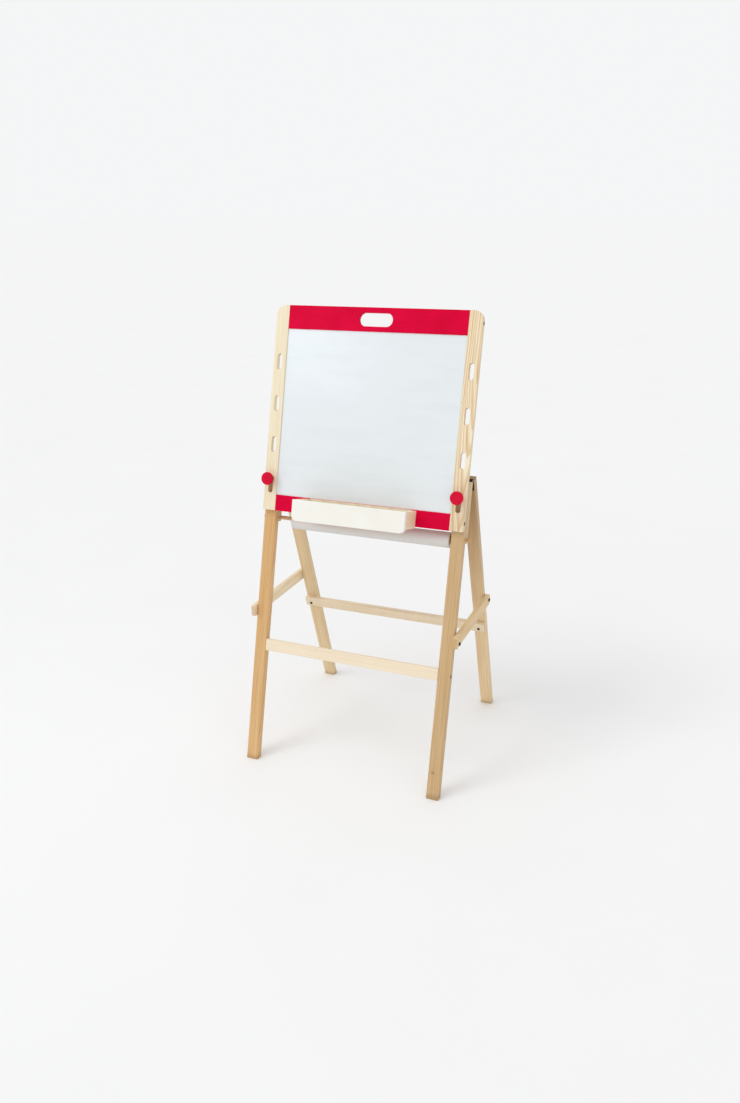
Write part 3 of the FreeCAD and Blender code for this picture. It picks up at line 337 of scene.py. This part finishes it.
# ---- Panel -------------------------------------------------------------------
# A fibreboard core between two thin steel sheets: gloss white enamel to write
# on in front, matt chalkboard paint behind. It sits in grooves all round.
def white_enamel():
    """Stove enamel on steel: cool white, very smooth, with faint wiped smears.

    The smears lie level, 143 mm long and a fifth as high. The rotation comes
    after the squeeze, so it only picks another cut through the noise.
    """
    finish, tree, surface = start_finish("white enamelled steel")
    coordinates = put(tree, "ShaderNodeTexCoord").outputs["Object"]
    flattened = put(tree, "ShaderNodeMapping", {}, {
        "Vector": coordinates, "Rotation": Euler((0.0, math.radians(24), 0.0)),
        "Scale": (1.0, 1.0, 5.0)})
    smear = put(tree, "ShaderNodeTexNoise", {}, {
        "Vector": flattened.outputs[0], "Scale": marks(143), "Detail": 5.0, "Distortion": 0.6})
    ripple = put(tree, "ShaderNodeTexNoise", {}, {
        "Vector": coordinates, "Scale": marks(3.8), "Detail": 2.0})
    smears = put(tree, "ShaderNodeMapRange", SMOOTH, {
        "Value": smear.outputs["Fac"], "From Min": 0.40, "From Max": 0.80}).outputs["Result"]
    tone = put(tree, "ShaderNodeMix", COLOURS, {0: smears, 6: hue("E3E8EA"), 7: hue("DFE4E6")})
    wiped = put(tree, "ShaderNodeMapRange", SMOOTH, {
        "Value": smear.outputs["Fac"], "From Min": 0.35, "From Max": 0.70, "To Min": 0.16,
        "To Max": 0.24}).outputs["Result"]
    bump = put(tree, "ShaderNodeBump", {}, {
        "Strength": 0.10, "Distance": 0.0002, "Height": ripple.outputs["Fac"]})
    tree.links.new(tone.outputs[2], surface.inputs["Base Color"])
    tree.links.new(wiped, surface.inputs["Roughness"])
    tree.links.new(bump.outputs["Normal"], surface.inputs["Normal"])
    surface.inputs["IOR"].default_value = 1.52
    return finish


def chalkboard_paint():
    """Matt charcoal paint with a haze of wiped chalk in wide soft patches.

    The patches lie level, 200 mm long and a quarter as high. The paint's tooth
    is drawn 0.55 mm wide, coarser than it is, so that it shows.
    """
    finish, tree, surface = start_finish("matt chalkboard paint")
    coordinates = put(tree, "ShaderNodeTexCoord").outputs["Object"]
    flattened = put(tree, "ShaderNodeMapping", {}, {
        "Vector": coordinates, "Rotation": Euler((0.0, math.radians(-35), 0.0)),
        "Scale": (1.0, 1.0, 4.0)})
    haze = put(tree, "ShaderNodeTexNoise", {}, {
        "Vector": flattened.outputs[0], "Scale": marks(200), "Detail": 6.0, "Distortion": 0.3})
    tooth = put(tree, "ShaderNodeTexNoise", {}, {
        "Vector": coordinates, "Scale": marks(0.55), "Detail": 2.0})
    chalk = put(tree, "ShaderNodeMapRange", SMOOTH, {
        "Value": haze.outputs["Fac"], "From Min": 0.30, "From Max": 0.85, "To Min": 0.0,
        "To Max": 0.22}).outputs["Result"]
    tone = put(tree, "ShaderNodeMix", COLOURS, {0: chalk, 6: hue("2C2F2E"), 7: hue("8E928F")})
    bump = put(tree, "ShaderNodeBump", {}, {
        "Strength": 0.4, "Distance": 0.0002, "Height": tooth.outputs["Fac"]})
    tree.links.new(tone.outputs[2], surface.inputs["Base Color"])
    dryness = put(tree, "ShaderNodeMapRange", SMOOTH, {
        "Value": haze.outputs["Fac"], "From Min": 0.3, "From Max": 0.8, "To Min": 0.78,
        "To Max": 0.92}).outputs["Result"]
    tree.links.new(dryness, surface.inputs["Roughness"])
    tree.links.new(bump.outputs["Normal"], surface.inputs["Normal"])
    return finish


def pressed_fibre():
    """Brown fibreboard: felted fibres about a millimetre long."""
    finish, tree, surface = start_finish("raw fibreboard")
    coordinates = put(tree, "ShaderNodeTexCoord").outputs["Object"]
    fibres = put(tree, "ShaderNodeTexNoise", {}, {
        "Vector": coordinates, "Scale": marks(1.11), "Detail": 5.0, "Distortion": 1.5})
    mixed = put(tree, "ShaderNodeMapRange", SMOOTH, {
        "Value": fibres.outputs["Fac"], "From Min": 0.3, "From Max": 0.7}).outputs["Result"]
    tone = put(tree, "ShaderNodeMix", COLOURS, {0: mixed, 6: hue("8A6746"), 7: hue("B08D66")})
    bump = put(tree, "ShaderNodeBump", {}, {
        "Strength": 0.5, "Distance": 0.0002, "Height": fibres.outputs["Fac"]})
    tree.links.new(tone.outputs[2], surface.inputs["Base Color"])
    dryness = put(tree, "ShaderNodeMapRange", SMOOTH, {
        "Value": fibres.outputs["Fac"], "From Min": 0.3, "From Max": 0.7, "To Min": 0.75,
        "To Max": 0.9}).outputs["Result"]
    tree.links.new(dryness, surface.inputs["Roughness"])
    tree.links.new(bump.outputs["Normal"], surface.inputs["Normal"])
    return finish


clad(white_enamel(), "whiteboard_sheet")
clad(chalkboard_paint(), "chalkboard_sheet")
clad(pressed_fibre(), "panel_core")

# ---- Tray --------------------------------------------------------------------
# A cream painted bar closes the front of the tray. Two bare pine ends tie it
# to the board's bottom rail, and a birch plywood floor and back lie between.
clad(sprayed_lacquer("cream satin lacquer", "F2F0E8", "EFECE2", ACROSS, 0.45, 0.3), "tray_front")
sawn_wood("pine left tray end", "tray_end_left", OUT_FRONT, (-1, 0, 0), "FAEED0", "E6CA9E", 0.0040,
          (0.08, 0.05), (0.04, 0.05))
sawn_wood("pine right tray end", "tray_end_right", OUT_FRONT, (1, 0, 0), "FAEED0", "E6CA9E", 0.0040,
          (0.08, 0.05), (0.04, 0.05))
for piece in ("tray_floor", "tray_back"):
    sawn_wood("birch plywood of " + piece, piece, ACROSS, OUT_FRONT, "F2E6D0", "E2CDAA", 0.0090,
              (0.05, 0.12), (0.05, 0.20), figure=0.5, roughness=0.5)


# ---- Knobs -------------------------------------------------------------------
# Moulded red knobs that clamp the board at the height of a slot. The plastic
# is semi-gloss, with a faint texture from the mould and rubbed faces.
def moulded_plastic():
    """Semi-gloss moulded plastic; its fine texture is drawn 0.9 mm wide to show."""
    finish, tree, surface = start_finish("red moulded plastic")
    coordinates = put(tree, "ShaderNodeTexCoord").outputs["Object"]
    texture = put(tree, "ShaderNodeTexNoise", {}, {
        "Vector": coordinates, "Scale": marks(0.9), "Detail": 2.0})
    rubbed = put(tree, "ShaderNodeTexNoise", {}, {
        "Vector": coordinates, "Scale": marks(11.1), "Detail": 3.0})
    rubbing = put(tree, "ShaderNodeMapRange", SMOOTH, {
        "Value": rubbed.outputs["Fac"], "From Min": 0.35, "From Max": 0.7}).outputs["Result"]
    tone = put(tree, "ShaderNodeMix", COLOURS, {0: rubbing, 6: hue("D60E36"), 7: hue("C80A2E")})
    bump = put(tree, "ShaderNodeBump", {}, {
        "Strength": 0.2, "Distance": 0.0002, "Height": texture.outputs["Fac"]})
    tree.links.new(tone.outputs[2], surface.inputs["Base Color"])
    polish = put(tree, "ShaderNodeMapRange", SMOOTH, {
        "Value": rubbed.outputs["Fac"], "From Min": 0.3, "From Max": 0.7, "To Min": 0.26,
        "To Max": 0.38}).outputs["Result"]
    tree.links.new(polish, surface.inputs["Roughness"])
    tree.links.new(bump.outputs["Normal"], surface.inputs["Normal"])
    surface.inputs["IOR"].default_value = 1.49
    surface.inputs["Specular IOR Level"].default_value = 0.10
    return finish


clad(moulded_plastic(), "knob_left", "knob_right")


# ---- Black hardware ----------------------------------------------------------
# Hinge leaves, pegs and domed bolts in blackened steel: dark, slightly brown
# and finely grained, with lighter rubbed patches.
def blackened_steel():
    """Black coating on steel, rubbed thin; its grain is drawn 0.7 mm wide to show."""
    finish, tree, surface = start_finish("blackened steel")
    coordinates = put(tree, "ShaderNodeTexCoord").outputs["Object"]
    powder = put(tree, "ShaderNodeTexNoise", {}, {
        "Vector": coordinates, "Scale": marks(0.67), "Detail": 2.0})
    rubbed = put(tree, "ShaderNodeTexNoise", {}, {
        "Vector": coordinates, "Scale": marks(6.2), "Detail": 4.0})
    thinned = put(tree, "ShaderNodeMapRange", SMOOTH, {
        "Value": rubbed.outputs["Fac"], "From Min": 0.5, "From Max": 0.8}).outputs["Result"]
    tone = put(tree, "ShaderNodeMix", COLOURS, {0: thinned, 6: hue("262220"), 7: hue("4E4640")})
    bump = put(tree, "ShaderNodeBump", {}, {
        "Strength": 0.3, "Distance": 0.0002, "Height": powder.outputs["Fac"]})
    tree.links.new(tone.outputs[2], surface.inputs["Base Color"])
    polish = put(tree, "ShaderNodeMapRange", SMOOTH, {
        "Value": rubbed.outputs["Fac"], "From Min": 0.3, "From Max": 0.8, "To Min": 0.50,
        "To Max": 0.36}).outputs["Result"]
    tree.links.new(polish, surface.inputs["Roughness"])
    tree.links.new(bump.outputs["Normal"], surface.inputs["Normal"])
    surface.inputs["Metallic"].default_value = 0.4
    return finish


clad(blackened_steel(), "hinge_front_leaf_left", "hinge_front_leaf_right", "hinge_rear_leaf_left",
     "hinge_rear_leaf_right", "rear_stretcher_bolts", "brace_pivot_bolts", "brace_peg_left",
     "brace_peg_right", "stretcher_bolts", "frame_screws")


# ---- Zinc plated hardware ----------------------------------------------------
# Screws, studs, nuts and washers are bright zinc on steel, which shows a soft
# grey mottle.
def zinc_plate():
    """Bright zinc plating with a faint mottle about a millimetre wide."""
    finish, tree, surface = start_finish("bright zinc plate")
    coordinates = put(tree, "ShaderNodeTexCoord").outputs["Object"]
    crystals = put(tree, "ShaderNodeTexVoronoi", {}, {"Vector": coordinates, "Scale": marks(1.11)})
    drift = put(tree, "ShaderNodeTexNoise", {}, {
        "Vector": coordinates, "Scale": marks(8.3), "Detail": 3.0})
    mottling = put(tree, "ShaderNodeMapRange", SMOOTH, {
        "Value": drift.outputs["Fac"], "From Min": 0.3, "From Max": 0.7}).outputs["Result"]
    tone = put(tree, "ShaderNodeMix", COLOURS, {0: mottling, 6: hue("C9CACA"), 7: hue("A8A9A6")})
    bump = put(tree, "ShaderNodeBump", {}, {
        "Strength": 0.15, "Distance": 0.0001, "Height": crystals.outputs["Distance"]})
    tree.links.new(tone.outputs[2], surface.inputs["Base Color"])
    polish = put(tree, "ShaderNodeMapRange", SMOOTH, {
        "Value": drift.outputs["Fac"], "From Min": 0.3, "From Max": 0.7, "To Min": 0.26,
        "To Max": 0.42}).outputs["Result"]
    tree.links.new(polish, surface.inputs["Roughness"])
    tree.links.new(bump.outputs["Normal"], surface.inputs["Normal"])
    surface.inputs["Metallic"].default_value = 1.0
    return finish


clad(zinc_plate(), "hinge_pin_left", "hinge_pin_right", "tee_nut_left", "tee_nut_right",
     "knob_stud_left", "knob_stud_right", "knob_washer_left", "knob_washer_right",
     "stretcher_barrel_nuts", "block_screws", "hinge_front_screws", "hinge_rear_screws",
     "rear_stretcher_nuts", "rear_rail_screws", "brace_washers", "brace_pivot_nuts", "tray_screws")

# ---- Paper dowel -------------------------------------------------------------
# A turned beech rod through both spacer blocks that the paper hangs on. It is
# unfinished, so it looks drier than the lacquered pine.
sawn_wood("turned beech", "paper_dowel", ACROSS, OUT_FRONT, "DDBE94", "C39A6A", 0.0022,
          (0.0, 0.02), (0.01, 0.02), figure=0.5, roughness=0.55)


# ---- Paper roll --------------------------------------------------------------
# Drawing paper wound on a cardboard tube. The outer turn ends in a loose edge
# and the turns have slipped a little, so both ends show fine uneven steps.
def wound_paper():
    """Mesh of the roll: a spiral outer turn and stepped rings at both ends."""
    low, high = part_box("paper_roll")
    middle = (low + high) / 2
    outer = (high.z - low.z) / 2
    # Metres: the bore clears the 12 mm tube, the loose edge stands off by lift,
    # and the recess keeps the ring that slipped furthest inside the roll's ends.
    inner = 0.0121
    lift = 0.0006
    clearance = 0.0001
    recess = 0.0009
    loose_edge = math.radians(250)
    around = 96
    rings = 9
    other_end_shift = 3
    slips = (0.0, -0.0006, 0.0002, -0.0003, -0.0009, -0.0002, -0.0007, 0.0, -0.0004)
    columns = []
    for end in (-1, 1):
        for ring_number in range(rings):
            share = ring_number / (rings - 1)
            slip = slips[(ring_number + (other_end_shift if end > 0 else 0)) % rings]
            columns.append((end, 1.0 - share if end > 0 else share, slip))
    points = []
    faces = []
    for turn in range(around + 1):
        angle = loose_edge + 2 * math.pi * turn / around
        spiral = outer - clearance - lift * (1 - turn / around)
        for end, share, slip in columns:
            reach = inner + (spiral - inner) * share
            half = (high.x - low.x) / 2 + slip - recess
            points.append((middle.x + end * half, middle.y + reach * math.cos(angle),
                           middle.z + reach * math.sin(angle)))
    wide = len(columns)
    for turn in range(around):
        for column in range(wide):
            after = (column + 1) % wide
            first = turn * wide
            second = first + wide
            faces.append((first + column, second + column, second + after, first + after))
    faces.append(tuple(range(wide)))
    faces.append(tuple(around * wide + column for column in reversed(range(wide))))
    mesh = bpy.data.meshes.new("wound_paper")
    mesh.from_pydata(points, [], faces)
    mesh.update()
    mesh.polygons.foreach_set("use_smooth", [True] * len(mesh.polygons))
    mesh.set_sharp_from_angle(angle=math.radians(35))
    roll = bpy.data.objects.new("wound_paper", mesh)
    bpy.context.scene.collection.objects.link(roll)
    return roll, middle


def uncoated_paper(middle):
    """White uncoated paper: matt and faintly mottled, with the turns' edges.

    The turns are drawn 0.6 mm apart, wider than real ones, so that they show.
    """
    half_turn = 0.0003
    finish, tree, surface = start_finish("uncoated drawing paper")
    coordinates = put(tree, "ShaderNodeTexCoord")
    place = coordinates.outputs["Object"]
    mottle = put(tree, "ShaderNodeTexNoise", {}, {"Vector": place, "Scale": marks(1.43), "Detail": 4.0})
    wave = put(tree, "ShaderNodeTexNoise", {}, {"Vector": place, "Scale": marks(45), "Detail": 2.0})
    centred = put(tree, "ShaderNodeVectorMath", {"operation": "SUBTRACT"}, {0: place, 1: middle})
    flat = put(tree, "ShaderNodeVectorMath", {"operation": "MULTIPLY"}, {
        0: centred.outputs[0], 1: (0.0, 1.0, 1.0)})
    radius = put(tree, "ShaderNodeVectorMath", {"operation": "LENGTH"}, {
        0: flat.outputs[0]}).outputs["Value"]
    turns = put(tree, "ShaderNodeMath", {"operation": "PINGPONG"}, {0: radius, 1: half_turn}).outputs[0]
    layer = put(tree, "ShaderNodeMapRange", SMOOTH, {
        "Value": turns, "From Min": 0.0, "From Max": half_turn}).outputs["Result"]
    facing_end = put(tree, "ShaderNodeSeparateXYZ", {}, {0: coordinates.outputs["Normal"]}).outputs["X"]
    end = put(tree, "ShaderNodeMath", {"operation": "ABSOLUTE"}, {0: facing_end}).outputs[0]
    end = put(tree, "ShaderNodeMapRange", SMOOTH, {
        "Value": end, "From Min": 0.5, "From Max": 0.9}).outputs["Result"]
    lines = put(tree, "ShaderNodeMath", {"operation": "MULTIPLY"}, {0: layer, 1: end}).outputs[0]
    mottling = put(tree, "ShaderNodeMapRange", SMOOTH, {
        "Value": mottle.outputs["Fac"], "From Min": 0.3, "From Max": 0.7}).outputs["Result"]
    # The paper is drawn a little greyer than white paper: painted shade, for the roll's underside in
    # the tray's shadow.
    tone = put(tree, "ShaderNodeMix", COLOURS, {
        0: mottling, 6: hue("E0DDD9"), 7: hue("D4D0CB")}).outputs[2]
    edges = put(tree, "ShaderNodeMapRange", SMOOTH, {
        "Value": lines, "From Min": 0.0, "From Max": 1.0, "To Min": 0.0,
        "To Max": 0.45}).outputs["Result"]
    tone = put(tree, "ShaderNodeMix", COLOURS, {0: edges, 6: tone, 7: hue("B4AEA4")}).outputs[2]
    relief = put(tree, "ShaderNodeMath", {"operation": "MULTIPLY_ADD"}, {
        0: wave.outputs["Fac"], 1: 3.0, 2: mottle.outputs["Fac"]}).outputs[0]
    bump = put(tree, "ShaderNodeBump", {}, {"Strength": 0.3, "Distance": 0.0003, "Height": relief})
    tree.links.new(tone, surface.inputs["Base Color"])
    dryness = put(tree, "ShaderNodeMapRange", SMOOTH, {
        "Value": mottle.outputs["Fac"], "From Min": 0.3, "From Max": 0.7, "To Min": 0.72,
        "To Max": 0.85}).outputs["Result"]
    tree.links.new(dryness, surface.inputs["Roughness"])
    tree.links.new(bump.outputs["Normal"], surface.inputs["Normal"])
    return finish


def wound_board(middle):
    """Brown spiral-wound tube board with a seam every 40 mm."""
    seam_spacing = 0.040
    finish, tree, surface = start_finish("spiral wound tube board")
    place = put(tree, "ShaderNodeTexCoord").outputs["Object"]
    centred = put(tree, "ShaderNodeVectorMath", {"operation": "SUBTRACT"}, {
        0: place, 1: middle}).outputs[0]
    parts = put(tree, "ShaderNodeSeparateXYZ", {}, {0: centred})
    angle = put(tree, "ShaderNodeMath", {"operation": "ARCTAN2"}, {
        0: parts.outputs["Z"], 1: parts.outputs["Y"]}).outputs[0]
    winding = put(tree, "ShaderNodeMath", {"operation": "MULTIPLY_ADD"}, {
        0: parts.outputs["X"], 1: 2 * math.pi / seam_spacing, 2: angle}).outputs[0]
    seam = put(tree, "ShaderNodeMath", {"operation": "SINE"}, {0: winding}).outputs[0]
    seam = put(tree, "ShaderNodeMapRange", SMOOTH, {
        "Value": seam, "From Min": 0.96, "From Max": 1.0}).outputs["Result"]
    fibres = put(tree, "ShaderNodeTexNoise", {}, {"Vector": place, "Scale": marks(1.25), "Detail": 4.0})
    mixed = put(tree, "ShaderNodeMapRange", SMOOTH, {
        "Value": fibres.outputs["Fac"], "From Min": 0.3, "From Max": 0.7}).outputs["Result"]
    tone = put(tree, "ShaderNodeMix", COLOURS, {
        0: mixed, 6: hue("B4936C"), 7: hue("9C7C56")}).outputs[2]
    tone = put(tree, "ShaderNodeMix", COLOURS, {0: seam, 6: tone, 7: hue("6E5438")}).outputs[2]
    bump = put(tree, "ShaderNodeBump", {}, {
        "Strength": 0.4, "Distance": 0.0003, "Height": fibres.outputs["Fac"]})
    tree.links.new(tone, surface.inputs["Base Color"])
    dryness = put(tree, "ShaderNodeMapRange", SMOOTH, {
        "Value": fibres.outputs["Fac"], "From Min": 0.3, "From Max": 0.7, "To Min": 0.75,
        "To Max": 0.88}).outputs["Result"]
    tree.links.new(dryness, surface.inputs["Roughness"])
    tree.links.new(bump.outputs["Normal"], surface.inputs["Normal"])
    return finish


roll, roll_middle = wound_paper()
roll.data.materials.append(uncoated_paper(roll_middle))
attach(roll, "paper_roll")
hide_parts("paper_roll")
clad(wound_board(roll_middle), "roll_tube")


# ---- Studio ------------------------------------------------------------------
# A plain pale floor, an even white room and a broad soft light from the upper
# left, which lays a faint shadow to the right and behind.
def studio_floor():
    """Pale seamless floor, wide enough to reach the horizon."""
    wide = 60.0
    mesh = bpy.data.meshes.new("studio_floor")
    corners = [(-wide, -wide, 0), (wide, -wide, 0), (wide, wide, 0), (-wide, wide, 0)]
    mesh.from_pydata(corners, [], [(0, 1, 2, 3)])
    floor = bpy.data.objects.new("studio_floor", mesh)
    bpy.context.scene.collection.objects.link(floor)
    finish, tree, surface = start_finish("pale studio floor")
    place = put(tree, "ShaderNodeTexCoord").outputs["Object"]
    cloud = put(tree, "ShaderNodeTexNoise", {}, {"Vector": place, "Scale": marks(330), "Detail": 3.0})
    patches = put(tree, "ShaderNodeMapRange", SMOOTH, {
        "Value": cloud.outputs["Fac"], "From Min": 0.3, "From Max": 0.7}).outputs["Result"]
    tone = put(tree, "ShaderNodeMix", COLOURS, {0: patches, 6: hue("F6F6F6"), 7: hue("F5F5F5")})
    tree.links.new(tone.outputs[2], surface.inputs["Base Color"])
    surface.inputs["Roughness"].default_value = 0.9
    surface.inputs["Specular IOR Level"].default_value = 0.0
    mesh.materials.append(finish)


studio_floor()

# The room is even at eye level and dimmer high up on the camera's right.
room_right = (0.924, 0.383, 0.0)
room = bpy.data.worlds.new("white_room")
bpy.context.scene.world = room
room.use_nodes = True
sky = room.node_tree
around = put(sky, "ShaderNodeTexCoord").outputs["Generated"]
direction = put(sky, "ShaderNodeSeparateXYZ", {}, {0: around})
overhead = put(sky, "ShaderNodeMapRange", SMOOTH, {
    "Value": direction.outputs["Z"], "From Min": 0.22, "From Max": 0.75, "To Min": 0.925,
    "To Max": 0.94}).outputs["Result"]
sideways = put(sky, "ShaderNodeVectorMath", {"operation": "DOT_PRODUCT"}, {
    0: around, 1: room_right}).outputs["Value"]
to_right = put(sky, "ShaderNodeMapRange", SMOOTH, {
    "Value": sideways, "From Min": 0.35, "From Max": 0.75, "To Min": 0.0,
    "To Max": -0.45}).outputs["Result"]
above = put(sky, "ShaderNodeMapRange", SMOOTH, {
    "Value": direction.outputs["Z"], "From Min": 0.22, "From Max": 0.42}).outputs["Result"]
shade = put(sky, "ShaderNodeMath", {"operation": "MULTIPLY"}, {0: to_right, 1: above}).outputs[0]
dimming = put(sky, "ShaderNodeMath", {"operation": "MULTIPLY_ADD"}, {
    0: overhead, 1: shade, 2: overhead}).outputs[0]
sky.links.new(dimming, sky.nodes["Background"].inputs["Strength"])
sky.nodes["Background"].inputs["Color"].default_value = (0.986, 0.993, 1.0, 1.0)

key = bpy.data.lights.new("soft_key", "SUN")
key.energy = 0.50
key.color = (1.0, 0.975, 0.945)
key.angle = math.radians(24)
key_object = bpy.data.objects.new("soft_key", key)
key_object.rotation_euler = Vector((-0.55, -0.50, 1.0)).to_track_quat("Z", "Y").to_euler()
bpy.context.scene.collection.objects.link(key_object)

# A small cool softbox in front and to the left, aimed at the board's upper left.
softbox = bpy.data.lights.new("cool_softbox", "AREA")
softbox.energy = 1.5
softbox.size = 0.5
softbox.color = (0.80, 0.90, 1.0)
softbox_object = bpy.data.objects.new("cool_softbox", softbox)
softbox_object.location = (-0.75, -1.0, 1.5)
softbox_aim = Vector((-0.15, 0.03, 0.92)) - Vector(softbox_object.location)
softbox_object.rotation_euler = softbox_aim.to_track_quat("-Z", "Y").to_euler()
bpy.context.scene.collection.objects.link(softbox_object)

# The camera stands in front of the easel and to its right, a little above its top.
turn = math.radians(22.54)
dip = math.radians(20.97)
roll_angle = math.radians(0.99)
distance = 2.173
aim = Vector((-0.0041, -0.0107, 0.4879))
ahead = Vector((-math.sin(turn) * math.cos(dip), math.cos(turn) * math.cos(dip), -math.sin(dip)))
right = Vector((math.cos(turn), math.sin(turn), 0.0))
up = right.cross(ahead)
camera_right = right * math.cos(roll_angle) - up * math.sin(roll_angle)
camera_up = right * math.sin(roll_angle) + up * math.cos(roll_angle)
camera = bpy.data.cameras.new("camera")
camera.sensor_width = 36.0
camera.lens = 29.9
camera_object = bpy.data.objects.new("camera", camera)
facing = Matrix((camera_right, camera_up, -ahead)).transposed()
camera_object.matrix_world = Matrix.Translation(aim - ahead * distance) @ facing.to_4x4()
bpy.context.scene.collection.objects.link(camera_object)
bpy.context.scene.camera = camera_object
bpy.context.scene.view_settings.view_transform = "Standard"
